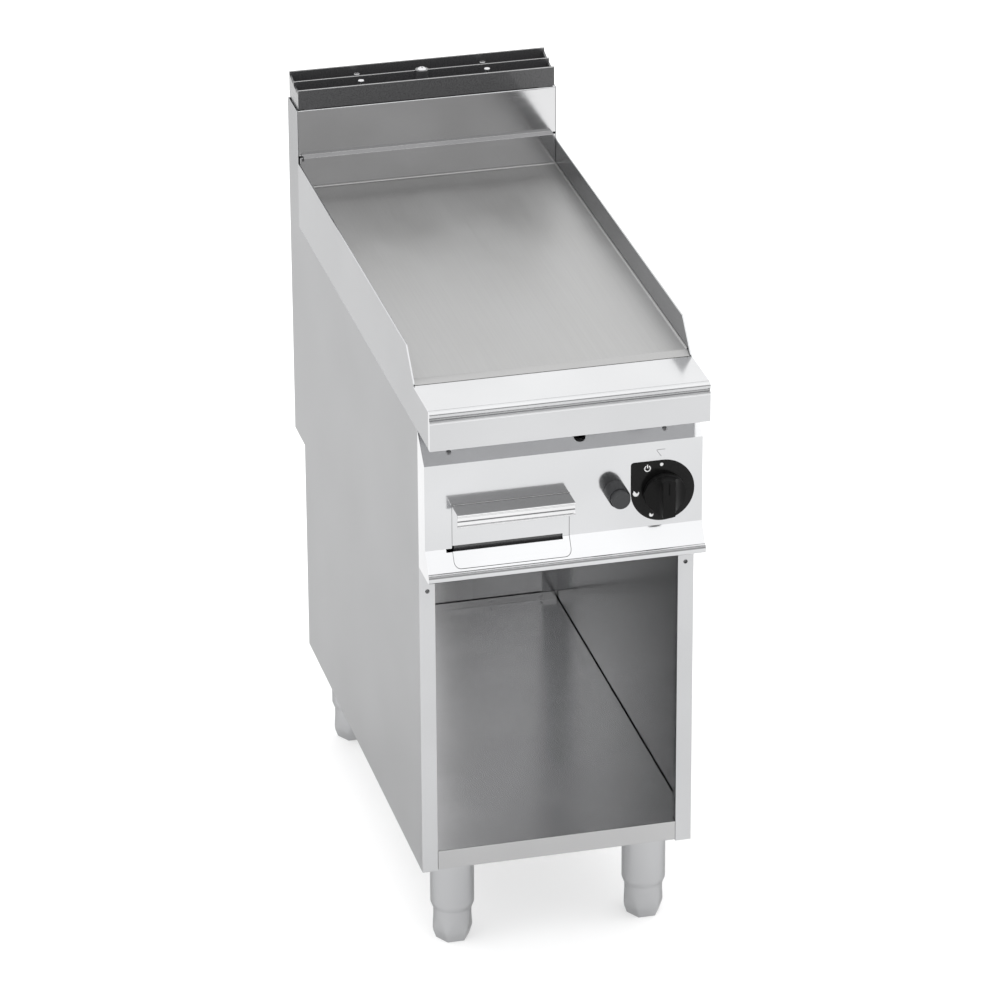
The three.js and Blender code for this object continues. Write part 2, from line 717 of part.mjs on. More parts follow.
const tray = { front: -410.5, rear: -10, bottom: 652, top: 714, inset: 3, wall: 1 };

// Folded front plate: upright over the panel's face, sloped below the bend, with the slot.
function drawerFront() {
  const slopeEnd = [-432, lip.top];
  const path = [[panelFace, drawer.top], [panelFace, panelBend], slopeEnd];
  const strip = slab(folded(path, sheet), "x", [drawer.left - 5, drawer.right + 5]);
  const outline = slab(drawerOutline(0), "y", [panelFace - 30, panelFace + 10]);
  return cut(common(strip, outline), slotCutter(slot));
}

// Pull: a flange that passes over the front plate, with a bead, a groove and a thin ridge
// along its edge.
function drawerHandle() {
  const low = drawer.top + gap;
  const high = low + 1.8;
  return slab([
    [-411, high], ...arc([-446.9, high - 2.2], 2.2, 90, 190, 4),
    [-447.9, 730.6], [-447.9, 728.6], [-449.2, 727.4], [-449.2, 725.2], [-447.8, 724.2],
    [-446, 724.2], [-446, low], [-412.2, low], [-412.2, 716], [-411, 716],
  ], "x", [drawer.left - 0.15, drawer.right + 0.15]);
}

function greaseTray() {
  const { front, rear, bottom, top, inset, wall } = tray;
  const left = drawer.left + inset;
  const right = drawer.right - inset;
  return cut(box([left, right], [front, rear], [bottom, top]),
    box([left + wall, right - wall], [front + wall, rear - wall], [bottom + wall, top + 1]));
}

// Runner beside the tray: it stands on the compartment's ceiling and carries the tray's edge.
function drawerRunner(side) {
  const centre = (drawer.left + drawer.right) / 2;
  const reach = (drawer.right - drawer.left) / 2 - tray.inset + 0.8;
  const at = (...distances) => distances.map((distance) => centre + side * distance);
  const depths = [cabinetFront + sheet + gap, 0];
  return join(
    box(at(reach, reach + sheet), depths, [compartmentTop + sheet + gap, 690]),
    box(at(reach + sheet, reach - 13), depths, [tray.bottom - gap - sheet, tray.bottom - gap]));
}

// ---------------------------------------------------------------- legs

const sleeve = { bottom: 51.5, nut: 125, nutTop: 133, plate: 163.4 };

function legSleeve() {
  const { bottom, nut, nutTop, plate } = sleeve;
  const bore = legs.footRadius + gap;
  const nutBore = 7.3;
  const tube = turned([
    [bore, bottom], [bore + 0.6, bottom], [legs.radius, bottom + 8], [legs.radius, plate + 1],
    [bore, plate + 1], [bore, nutTop], [nutBore, nutTop], [nutBore, nut], [bore, nut],
    [bore, bottom],
  ], "up", 32);
  const reach = channelHalfDepth - sheet - gap;
  const mountingPlate = box([-reach, reach], [-reach, reach],
    [plate, shelfLevel - 2 * (sheet + gap)]);
  return join(tube, mountingPlate);
}

// Foot with a flared skirt, six flats at its base and a threaded spindle.
function legFoot() {
  const { footRadius } = legs;
  const stemTop = sleeve.nut - gap;
  const round = turned([
    [0, 0], [26, 0], [29.4, 15], [28.6, 24], [27.7, 38], [footRadius, 48],
    [footRadius, stemTop], [7, stemTop], [7, 160], [0, 160],
  ], "up", 36);
  const sixFlats = turned([[0, -1], [24.3, -1], [24.7, 0], [30.2, 16], [33, 46], [45, 60],
    [45, 170], [0, 170]], "up", 6).rotateZ(Math.PI / 6);
  return common(round, sixFlats);
}

// ---------------------------------------------------------------- flue grill

const grill = { half: 197, front: 387.5, rear: 449.5, bottom: 1025, blade: 3 };
const ribPlace = 95.5;

function flueGrill() {
  const { half, front, rear, bottom, blade } = grill;
  const across = [-half, half];
  const middle = grillCentre - blade / 2;
  const blades = [
    box(across, [front, front + blade], [bottom, 1055]),
    box(across, [middle, middle + blade], [bottom + 5, 1058]),
    box(across, [rear - blade, rear], [bottom, 1064]),
  ];
  const ends = [-1, 1].map((side) => slab(
    [[front, bottom], [rear, bottom], [rear, 1060], [grillCentre, 1052], [front, 1048]],
    "x", [side * half, side * (half - blade)]));
  const ribs = [-1, 1].map((side) => box([side * ribPlace, side * (ribPlace + blade)],
    [front, rear], [bottom, bottom + 20]));
  const boss = bar("z", 10, [bottom, 1059], [0, grillCentre], 20);
  const feet = [-180, 180].flatMap((x) => [front + 3, rear - 4].map((y) =>
    box([x - 8, x + 8], [y - 3, y + 3], [flueTop + gap, bottom + 1])));
  const screwHole = bar("z", screwRadius + gap, [bottom - 2, 1062], [0, grillCentre], 12);
  return cut(join(...blades, ...ends, ...ribs, boss, ...feet), screwHole);
}

function grillScrew() {
  const place = [0, grillCentre];
  return join(bar("z", 7, [1059 + gap, 1063], place, 16),
    bar("z", screwRadius, [1000, 1060], place, 12));
}

// ---------------------------------------------------------------- assembly

const sides = { left: -1, right: 1 };

for (const [name, side] of Object.entries(sides)) {
  add(`side_panel_${name}`, sidePanel(side), stainless);
  add(`splash_guard_${name}`, splashGuard(side), stainless);
  add(`support_rail_${name}`, supportRail(side), galvanised);
  add(`burner_tube_${name}`, burnerTube(side), castMetal);
  add(`gas_injector_${name}`, injector(side), brassFitting);
  add(`drawer_runner_${name}`, drawerRunner(side), galvanised);
  add(`stile_screw_${name}`, stileScrew(side), screwSteel);
  add(`band_screw_${name}`, bandScrew(bandScrewPlaces[side < 0 ? 0 : 1]), screwSteel);
}

add("rear_panel", rearPanel(), darkStainless);
add("rear_cover", rearCover(), stainless);
add("bottom_shelf", bottomShelf(), darkStainless);
add("compartment_ceiling", compartmentCeiling(), darkStainless);
add("control_panel", controlPanel(), stainless);
add("worktop_front", worktopFront(), stainless);
add("griddle_plate", griddlePlate(), plateSteel);
add("rear_splash", rearSplash(), darkStainless);
add("flue_front_panel", flueFrontPanel(), darkStainless);
add("flue_duct", flueDuct(), galvanised);
add("flue_cross_bar", flueCrossBar(), galvanised);
add("firebox", fireboxShell(), galvanised);

add("burner_rail", burnerRail(), pipeMetal);
add("gas_supply_pipe", supplyPipe(), pipeMetal);
add("gas_inlet_fitting", inletFitting(), brassFitting);
add("gas_valve_body", valveBody(), castMetal);
add("valve_stem", valveStem(), brassFitting);
add("valve_push_rod", valvePushRod(), brassFitting);
add("pilot_burner", pilotBurner(), castMetal);
add("pilot_pipe", pilotPipe(), pipeMetal);
add("thermocouple", thermocouple(), pipeMetal);
add("spark_electrode", sparkElectrode(), ceramic);
add("ignition_lead", ignitionLead(), leadRubber);

add("knob_escutcheon", knobEscutcheon(), glossBlack);
add("control_knob", controlKnob(), glossBlack);
add("piezo_body", piezoBody(), greyPlastic);
add("igniter_button", igniterButton(), greyPlastic);

add("grease_gutter", greaseGutter(), galvanised);
add("drain_chute", drainChute(), galvanised);
add("drawer_front", drawerFront(), stainless);
add("drawer_handle", drawerHandle(), stainless);
add("grease_tray", greaseTray(), darkStainless);

for (const [place, y] of Object.entries({ front: legs.front, rear: legs.rear })) {
  add(`base_channel_${place}`, baseChannel(y), galvanised);
  for (const [name, side] of Object.entries(sides)) {
    const leg = new THREE.Group();
    leg.position.set(side * legs.x, y, 0);
    add(`leg_sleeve_${place}_${name}`, legSleeve(), stainless, leg);
    add(`leg_foot_${place}_${name}`, legFoot(), stainless, leg);
    griddle.add(leg);
  }
}

add("flue_grill", flueGrill(), blackEnamel);
add("grill_screw", grillScrew(), screwSteel);

export default griddle;
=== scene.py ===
"""Looks of a free-standing gas griddle: finishes, fine round pieces, marks, studio and camera.

Metres, +X to the operator's right, +Y to the rear, +Z up. Lengths below are written in
millimetres and scaled by MM where they become geometry.
"""

import math

import bmesh
import bpy
from mathutils import Matrix, Vector


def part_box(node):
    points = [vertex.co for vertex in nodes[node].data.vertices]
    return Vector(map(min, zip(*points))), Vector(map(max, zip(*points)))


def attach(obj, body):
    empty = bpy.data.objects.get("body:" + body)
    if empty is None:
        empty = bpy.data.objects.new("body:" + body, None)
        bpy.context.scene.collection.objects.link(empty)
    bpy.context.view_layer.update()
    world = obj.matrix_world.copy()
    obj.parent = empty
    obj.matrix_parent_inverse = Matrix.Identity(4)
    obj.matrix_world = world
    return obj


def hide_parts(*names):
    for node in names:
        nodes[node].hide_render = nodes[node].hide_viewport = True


MM = 0.001

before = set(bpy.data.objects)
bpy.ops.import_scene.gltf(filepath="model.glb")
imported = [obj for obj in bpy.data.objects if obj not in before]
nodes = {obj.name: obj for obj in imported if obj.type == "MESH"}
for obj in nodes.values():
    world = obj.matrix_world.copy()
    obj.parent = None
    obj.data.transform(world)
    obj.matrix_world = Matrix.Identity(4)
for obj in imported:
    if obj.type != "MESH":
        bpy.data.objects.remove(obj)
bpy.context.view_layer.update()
scene = bpy.context.scene


def corners_of(node_name):
    """The low and high corner of a CAD node's box, in millimetres."""
    low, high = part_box(node_name)
    return low / MM, high / MM


# ---------------------------------------------------------------- materials

def new_material(name, metallic=0.0, coat=0.0):
    material = bpy.data.materials.new(name)
    material.use_nodes = True
    tree = material.node_tree
    shader = tree.nodes["Principled BSDF"]
    shader.inputs["Metallic"].default_value = metallic
    shader.inputs["Coat Weight"].default_value = coat
    return material, tree, shader


NOISE_ROUGHNESS = 0.55


def stretched_noise(tree, stretch, detail=3.0):
    """Noise over the object's own space, with a scale of its own along each axis."""
    place = tree.nodes.new("ShaderNodeTexCoord")
    mapping = tree.nodes.new("ShaderNodeMapping")
    mapping.inputs["Scale"].default_value = stretch
    noise = tree.nodes.new("ShaderNodeTexNoise")
    noise.inputs["Scale"].default_value = 1.0
    noise.inputs["Detail"].default_value = detail
    noise.inputs["Roughness"].default_value = NOISE_ROUGHNESS
    tree.links.new(place.outputs["Object"], mapping.inputs["Vector"])
    tree.links.new(mapping.outputs["Vector"], noise.inputs["Vector"])
    return noise.outputs["Fac"]


def ranged(tree, value, low, high, source=(0.3, 0.7)):
    """A value mapped from the source range to low..high."""
    node = tree.nodes.new("ShaderNodeMapRange")
    node.inputs["From Min"].default_value = source[0]
    node.inputs["From Max"].default_value = source[1]
    node.inputs["To Min"].default_value = low
    node.inputs["To Max"].default_value = high
    tree.links.new(value, node.inputs["Value"])
    return node.outputs["Result"]


def sum_of(tree, first, second):
    node = tree.nodes.new("ShaderNodeMath")
    node.operation = "ADD"
    tree.links.new(first, node.inputs[0])
    tree.links.new(second, node.inputs[1])
    return node.outputs["Value"]


def two_tone(tree, value, dark, light, source=(0.3, 0.7)):
    """A colour between dark and light, driven by a value over the source range."""
    ramp = tree.nodes.new("ShaderNodeValToRGB")
    ramp.color_ramp.elements[0].position = source[0]
    ramp.color_ramp.elements[0].color = (*dark, 1)
    ramp.color_ramp.elements[1].position = source[1]
    ramp.color_ramp.elements[1].color = (*light, 1)
    tree.links.new(value, ramp.inputs["Fac"])
    return ramp.outputs["Color"]


def add_bump(tree, shader, height, strength, distance):
    bump = tree.nodes.new("ShaderNodeBump")
    bump.inputs["Strength"].default_value = strength
    bump.inputs["Distance"].default_value = distance
    tree.links.new(height, bump.inputs["Height"])
    tree.links.new(bump.outputs["Normal"], shader.inputs["Normal"])


def shade(colour, factor):
    return tuple(channel * factor for channel in colour)


def painted_light_split_y(tree, colour, start, end, factor):
    """The colour, multiplied by factor where the object's own Y lies past end: painted light that
    makes one side of a sheet lighter than the other.
    """
    place = tree.nodes.new("ShaderNodeTexCoord")
    split = tree.nodes.new("ShaderNodeSeparateXYZ")
    tree.links.new(place.outputs["Object"], split.inputs["Vector"])
    scaled = tree.nodes.new("ShaderNodeVectorMath")
    scaled.operation = "SCALE"
    tree.links.new(colour, scaled.inputs[0])
    tree.links.new(ranged(tree, split.outputs["Y"], 1.0, factor, (start, end)),
                   scaled.inputs["Scale"])
    return scaled.outputs["Vector"]


def steel(name, colour, roughness, grain, relief=0.05, blotch=0.04, edge_tint=1.0,
          painted_light_split=None):
    """Ground or brushed sheet: fine lines along one direction over faint, wide blotches.

    edge_tint below 1 keeps a sheet from turning bright where it is seen at a flat angle.
    The last argument, (start, end, factor), multiplies the colour by factor on the sheet's outer
    side: painted light that keeps the inner side lighter than the outer one.
    """
    material, tree, shader = new_material(name, metallic=1.0)
    shader.inputs["Specular Tint"].default_value = (edge_tint, edge_tint, edge_tint, 1)
    lines = stretched_noise(tree, grain, detail=4.0)
    clouds = stretched_noise(tree, (5.0, 5.0, 5.0), detail=2.0)
    lines_part = ranged(tree, lines, -0.18 * roughness, 0.18 * roughness)
    clouds_part = ranged(tree, clouds, 0.86 * roughness, 1.14 * roughness)
    tree.links.new(sum_of(tree, lines_part, clouds_part), shader.inputs["Roughness"])
    tint = two_tone(tree, clouds, shade(colour, 1 - blotch), shade(colour, 1 + blotch))
    if painted_light_split:
        tint = painted_light_split_y(tree, tint, *painted_light_split)
    tree.links.new(tint, shader.inputs["Base Color"])
    add_bump(tree, shader, lines, relief, 0.0002)
    return material


ALONG_X = (6.0, 900.0, 900.0)
ALONG_Y = (900.0, 6.0, 900.0)
ALONG_Z = (900.0, 900.0, 6.0)
RINGS = (12.0, 12.0, 1400.0)

front_steel = steel("front_steel", (0.555, 0.559, 0.567), 0.12, ALONG_X)
pull_steel = steel("pull_steel", (0.66, 0.66, 0.665), 0.10, ALONG_X, relief=0.01)
top_steel = steel("top_steel", (0.51, 0.513, 0.52), 0.15, ALONG_X)
# Painted shade: the side sheets and rear cover carry the same steel as the front in a darker
# colour, standing in for the lesser light on the sides.
side_steel = steel("side_steel", (0.48, 0.483, 0.49), 0.17, ALONG_Z, edge_tint=0.58)
guard_steel = steel("guard_steel", (0.50, 0.504, 0.512), 0.20, ALONG_Y, edge_tint=0.66)
# Painted light: the compartment's inner sheets and the shelf get a far lighter steel than the outer
# sheets, standing in for light inside the compartment. Past the given Y, the rear panel's outer
# face and the shelf's front flange get 0.52 of that colour; on the flange this is painted shade.
inner_steel = steel("inner_steel", (0.84, 0.84, 0.843), 0.14, ALONG_Z, relief=0.01,
                    painted_light_split=(0.3800, 0.3806, 0.52))
shelf_steel = steel("shelf_steel", (0.80, 0.80, 0.803), 0.20, ALONG_X, relief=0.01,
                    painted_light_split=(-0.3732, -0.3740, 0.52))
flue_steel = steel("flue_steel", (0.59, 0.59, 0.595), 0.12, ALONG_X, relief=0.02)
leg_steel = steel("leg_steel", (0.43, 0.433, 0.44), 0.20, RINGS, edge_tint=0.6)
screw_steel = steel("screw_steel", (0.52, 0.52, 0.53), 0.25, (700.0, 700.0, 700.0))
# Dark steel of the small screws and rivets; also the painted shade laid in the drawer pull's
# groove.
dark_screw_and_groove_shade_steel = steel("dark_screw_and_groove_shade_steel", (0.20, 0.20, 0.205), 0.3, (700.0, 700.0, 700.0))
pipe_steel = steel("pipe_steel", (0.62, 0.63, 0.65), 0.3, (60.0, 60.0, 60.0))
worn_edge = steel("worn_edge", (0.50, 0.50, 0.505), 0.35, (500.0, 500.0, 500.0), blotch=0.25)


def plate_finish():
    """Ground cooking plate: fine lines along the depth, wear clouds and faint heat tint."""
    material, tree, shader = new_material("plate_finish", metallic=1.0)
    lines = stretched_noise(tree, (700.0, 5.0, 700.0), detail=5.0)
    wear = stretched_noise(tree, (7.0, 4.0, 7.0), detail=3.0)
    base = ranged(tree, wear, 0.44, 0.52)
    fine = ranged(tree, lines, -0.04, 0.04)
    tree.links.new(sum_of(tree, base, fine), shader.inputs["Roughness"])
    tint = two_tone(tree, wear, (0.345, 0.344, 0.342), (0.375, 0.375, 0.375))
    tree.links.new(tint, shader.inputs["Base Color"])
    add_bump(tree, shader, lines, 0.08, 0.0002)
    return material


def galvanised_finish():
    """Zinc coat with its flakes, each a little lighter or darker than the next."""
    material, tree, shader = new_material("galvanised", metallic=0.9)
    place = tree.nodes.new("ShaderNodeTexCoord")
    flakes = tree.nodes.new("ShaderNodeTexVoronoi")
    flakes.inputs["Scale"].default_value = 110.0
    tree.links.new(place.outputs["Object"], flakes.inputs["Vector"])
    grey = tree.nodes.new("ShaderNodeRGBToBW")
    tree.links.new(flakes.outputs["Color"], grey.inputs["Color"])
    tint = two_tone(tree, grey.outputs["Val"], (0.46, 0.47, 0.48), (0.60, 0.61, 0.62), (0.1, 0.9))
    tree.links.new(tint, shader.inputs["Base Color"])
    tree.links.new(ranged(tree, grey.outputs["Val"], 0.34, 0.5, (0.1, 0.9)),
                   shader.inputs["Roughness"])
    return material


def grainy(name, dark, light, scale, roughness, relief, metallic=0.0, coat=0.0, specular=0.5):
    """Moulded, cast or enamelled surface: a fine even grain in colour, gloss and relief."""
    material, tree, shader = new_material(name, metallic, coat)
    shader.inputs["Specular IOR Level"].default_value = specular
    grain = stretched_noise(tree, (scale, scale, scale), detail=4.0)
    tree.links.new(two_tone(tree, grain, dark, light), shader.inputs["Base Color"])
    tree.links.new(ranged(tree, grain, roughness * 0.88, roughness * 1.12),
                   shader.inputs["Roughness"])
    add_bump(tree, shader, grain, relief, 0.0003)
    return material


galvanised = galvanised_finish()
plate_steel = plate_finish()
black_enamel = grainy("black_enamel", (0.044, 0.044, 0.046), (0.062, 0.062, 0.064), 900.0, 0.28,
                      0.10, coat=0.4)
cast_iron = grainy("cast_iron", (0.10, 0.10, 0.105), (0.16, 0.16, 0.165), 500.0, 0.6, 0.5, 0.8)
cast_aluminium = grainy("cast_aluminium", (0.42, 0.43, 0.44), (0.52, 0.53, 0.54), 600.0, 0.5,
                        0.35, 0.9)
gloss_black = grainy("gloss_black", (0.006, 0.006, 0.006), (0.009, 0.009, 0.009), 300.0, 0.16,
                     0.02, specular=0.12)
knob_black = grainy("knob_black", (0.007, 0.007, 0.007), (0.011, 0.011, 0.011), 600.0, 0.34, 0.05,
                    specular=0.06)
# Black pipe; on the burner rail its black is also painted shade, standing in for the dark seen
# through the small hole in front of the rail.
dark_pipe = grainy("dark_pipe", (0.030, 0.030, 0.032), (0.045, 0.045, 0.047), 300.0, 0.5, 0.2)
grey_plastic = grainy("grey_plastic", (0.034, 0.035, 0.037), (0.046, 0.047, 0.049), 1200.0, 0.42,
                      0.12, specular=0.25)
brass = grainy("brass", (0.58, 0.44, 0.20), (0.68, 0.54, 0.28), 400.0, 0.3, 0.06, 1.0)
ceramic = grainy("ceramic", (0.74, 0.71, 0.64), (0.80, 0.78, 0.72), 200.0, 0.25, 0.02, coat=0.3)
# Rubber of the ignition lead; also the black of the painted shadow lines beside the panel's lip
# bead.
lead_rubber = grainy("lead_rubber", (0.014, 0.014, 0.015), (0.024, 0.024, 0.026), 700.0, 0.6, 0.2)
print_white = grainy("print_white", (0.82, 0.82, 0.82), (0.90, 0.90, 0.90), 900.0, 0.5, 0.02)
print_grey = grainy("print_grey", (0.20, 0.20, 0.21), (0.26, 0.26, 0.27), 900.0, 0.5, 0.02)

FINISHES = {
    "side_panel_left": side_steel, "side_panel_right": side_steel,
    "splash_guard_left": guard_steel, "splash_guard_right": guard_steel,
    "rear_cover": side_steel, "control_panel": front_steel, "worktop_front": top_steel,
    "drawer_front": front_steel, "drawer_handle": pull_steel,
    "rear_panel": inner_steel, "bottom_shelf": shelf_steel, "rear_splash": flue_steel,
    "flue_front_panel": flue_steel, "grease_tray": black_enamel, "griddle_plate": plate_steel,
    "support_rail_left": galvanised, "support_rail_right": galvanised,
    "drawer_runner_left": galvanised, "drawer_runner_right": galvanised,
    "compartment_ceiling": inner_steel, "flue_duct": galvanised, "flue_cross_bar": galvanised,
    "firebox": galvanised, "grease_gutter": galvanised, "drain_chute": galvanised,
    "base_channel_front": galvanised, "base_channel_rear": galvanised,
    "flue_grill": black_enamel, "burner_tube_left": cast_iron, "burner_tube_right": cast_iron,
    "pilot_burner": cast_iron, "gas_valve_body": cast_aluminium, "control_knob": knob_black,
    "knob_escutcheon": gloss_black, "piezo_body": grey_plastic, "igniter_button": grey_plastic,
    "gas_injector_left": brass, "gas_injector_right": brass, "gas_inlet_fitting": brass,
    # The burner rail's black pipe also stands in for the shade seen through the hole in front of it
    # (painted shade).
    "valve_stem": brass, "valve_push_rod": brass, "burner_rail": dark_pipe,
    "gas_supply_pipe": pipe_steel, "pilot_pipe": pipe_steel, "thermocouple": pipe_steel,
    "spark_electrode": ceramic, "ignition_lead": lead_rubber,
    "stile_screw_left": screw_steel, "stile_screw_right": screw_steel,
    "band_screw_left": screw_steel, "band_screw_right": screw_steel, "grill_screw": screw_steel,
}
for node_name, node in nodes.items():
    finish = FINISHES.get(node_name, leg_steel)
    node.data.materials.clear()
    node.data.materials.append(finish)


# ---------------------------------------------------------------- edges of the folded sheets

WELD_DISTANCE = 1e-5    # metres
FLAT_ANGLE = 0.5        # degrees: faces closer than this to one plane are merged
FOLD_ANGLE = 30.0       # degrees: sharper edges than this get a round


def soften(node_name, width):
    """Small round edges on a node that keeps its own shape."""
    node = nodes[node_name]
    weld = node.modifiers.new("weld", "WELD")
    weld.merge_threshold = WELD_DISTANCE
    flat = node.modifiers.new("flat_faces", "DECIMATE")
    flat.decimate_type = "DISSOLVE"
    flat.angle_limit = math.radians(FLAT_ANGLE)
    bevel = node.modifiers.new("edges", "BEVEL")
    bevel.width = width * MM
    bevel.segments = 2
    bevel.limit_method = "ANGLE"
    bevel.angle_limit = math.radians(FOLD_ANGLE)
    bevel.miter_outer = "MITER_ARC"
    node.data.shade_smooth()
    normals = node.modifiers.new("normals", "WEIGHTED_NORMAL")
    normals.keep_sharp = False


SOFT_EDGES = {
    "side_panel_left": 0.6, "side_panel_right": 0.6, "splash_guard_left": 0.6,
    "splash_guard_right": 0.6, "rear_cover": 0.5, "control_panel": 0.5, "worktop_front": 0.5,
    "rear_panel": 0.3, "bottom_shelf": 0.6, "rear_splash": 0.4, "flue_front_panel": 0.6,
    "griddle_plate": 0.5, "drawer_front": 0.4, "grease_tray": 0.3, "compartment_ceiling": 0.3,
    "flue_grill": 0.4, "base_channel_front": 0.5, "base_channel_rear": 0.5,
}
for node_name, width in SOFT_EDGES.items():
    soften(node_name, width)


# ---------------------------------------------------------------- mesh helpers

def piece_from(name, mesh_maker, material, body="cabinet", smooth=35.0):
    """A new piece from a function that fills a bmesh given in millimetres."""
    work = bmesh.new()
    mesh_maker(work)
    bmesh.ops.scale(work, vec=(MM, MM, MM), verts=work.verts)
    bmesh.ops.recalc_face_normals(work, faces=work.faces)
    limit = math.radians(smooth)
    for face in work.faces:
        face.smooth = True
    for edge in work.edges:
        if len(edge.link_faces) == 2 and edge.calc_face_angle(0.0) > limit:
            edge.smooth = False
    mesh = bpy.data.meshes.new(name)
    work.to_mesh(mesh)
    work.free()
    mesh.materials.append(material)
    piece = bpy.data.objects.new(name, mesh)
    scene.collection.objects.link(piece)
    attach(piece, body)
    return piece


def ring_surface(work, rings):
    """Faces between rings of equal count; a ring of one point closes the end."""
    rows = [[work.verts.new(point) for point in ring] for ring in rings]
    for low, high in zip(rows, rows[1:]):
        count = max(len(low), len(high))
        for i in range(count):
            j = (i + 1) % count
            corners = [low[i % len(low)], low[j % len(low)], high[j % len(high)],
                       high[i % len(high)]]
            unique = list(dict.fromkeys(corners))
            if len(unique) > 2:
                work.faces.new(unique)
    return rows


def turned(work, profile, centre, axis="z", *, count, limit_radius=None):
    """A profile of (radius, height) turned about an axis through centre.

    Axis "z" measures height upwards; "out" measures it from centre towards the front.
    limit_radius(angle, height) may cut the round shape back, as flats do.
    """
    rings = []
    for radius, height in profile:
        ring = []
        for i in range(1 if radius == 0 else count):
            angle = 2 * math.pi * i / count
            reach = radius
            if limit_radius and radius:
                reach = min(radius, limit_radius(angle, height))
            u, v = reach * math.cos(angle), reach * math.sin(angle)
            if axis == "z":
                ring.append((centre[0] + u, centre[1] + v, centre[2] + height))
            else:
                ring.append((centre[0] + u, centre[1] - height, centre[2] + v))
        rings.append(ring)
    ring_surface(work, rings)


def rounded(points, radius, steps=4):
    """The same open polyline with each inner corner turned into an arc-like curve."""
    vectors = [Vector(point) for point in points]
    result = [points[0]]
    for before, corner, after in zip(vectors, vectors[1:], vectors[2:]):
        reach = min(radius, (before - corner).length * 0.45, (after - corner).length * 0.45)
        start = corner + (before - corner).normalized() * reach
        end = corner + (after - corner).normalized() * reach
        for i in range(steps + 1):
            t = i / steps
            result.append(tuple(start * (1 - t) ** 2 + corner * 2 * t * (1 - t) + end * t * t))
    result.append(points[-1])
    return result


def prism(work, outline, span):
    """A closed (y, z) outline pushed along x, with its two ends closed."""
    ends = [[work.verts.new((x, y, z)) for y, z in outline] for x in span]
    count = len(outline)
    for i in range(count):
        j = (i + 1) % count
        work.faces.new((ends[0][i], ends[0][j], ends[1][j], ends[1][i]))
    for end in ends:
        work.faces.new(end)


def carve(piece, cutter_maker):
    """Cuts a shape out of a piece for good."""
    cutter = piece_from(piece.name + "_cutter", cutter_maker, piece.data.materials[0])
    cutter.parent = None
    modifier = piece.modifiers.new("cut", "BOOLEAN")
    modifier.operation = "DIFFERENCE"
    modifier.object = cutter
    modifier.solver = "EXACT"
    evaluated = piece.evaluated_get(bpy.context.evaluated_depsgraph_get())
    result = bpy.data.meshes.new_from_object(evaluated)
    piece.modifiers.clear()
    old = piece.data
    piece.data = result
    result.name = old.name
    bpy.data.meshes.remove(old)
    bpy.data.objects.remove(cutter)


def block(work, xs, ys, zs):
    """A closed box between two values along each axis."""
    corners = [work.verts.new((x, y, z)) for x in xs for y in ys for z in zs]
    for a, b, c, d in ((0, 1, 3, 2), (4, 6, 7, 5), (0, 4, 5, 1), (2, 3, 7, 6), (0, 2, 6, 4),
                       (1, 5, 7, 3)):
        work.faces.new((corners[a], corners[b], corners[c], corners[d]))


# ---------------------------------------------------------------- legs

SLEEVE_RADIUS = 32.0
FOOT_RADIUS = 28.0
FOOT_TOP = 124.0        # above this the foot is a thread
THREAD_TOP = 160.0
FLATS_TOP = 48.0


def sleeve_profile(box_bottom, box_top):
    """Tube with its lower edge drawn in round the foot."""
    return rounded([
        (FOOT_RADIUS + 0.4, box_top - 8), (FOOT_RADIUS + 0.4, box_bottom + 0.3),
        (FOOT_RADIUS + 1.2, box_bottom), (SLEEVE_RADIUS, box_bottom + 8),
        (SLEEVE_RADIUS, box_top - 8),
    ], 1.6)


def foot_flats(angle, height):
    """Distance from the axis to the foot's six flats, which fade out upwards."""
    if height <= 16:
        corner = 24.7 + (30.2 - 24.7) * height / 16
    else:
        corner = 30.2 + (33.0 - 30.2) * (height - 16) / 30
    flat = corner * math.cos(math.pi / 6)
    turn = (angle % (math.pi / 3)) - math.pi / 6
    return flat / math.cos(turn)


def foot_profile(top):
    """Tapered foot, in short steps where its six flats fade out."""
    curve = rounded([(26.0, 0), (29.4, 15), (28.6, 24), (27.75, 36), (FOOT_RADIUS, 50),
                     (FOOT_RADIUS, top - 0.6), (FOOT_RADIUS - 0.6, top)], 6.0, 8)
    dense = []
    for (r0, z0), (r1, z1) in zip(curve, curve[1:]):
        steps = max(1, int((z1 - z0) / 1.5)) if z1 < 60 else 1
        dense += [(r0 + (r1 - r0) * i / steps, z0 + (z1 - z0) * i / steps) for i in range(steps)]
    return [(0, 0)] + dense + [curve[-1], (0, top)]


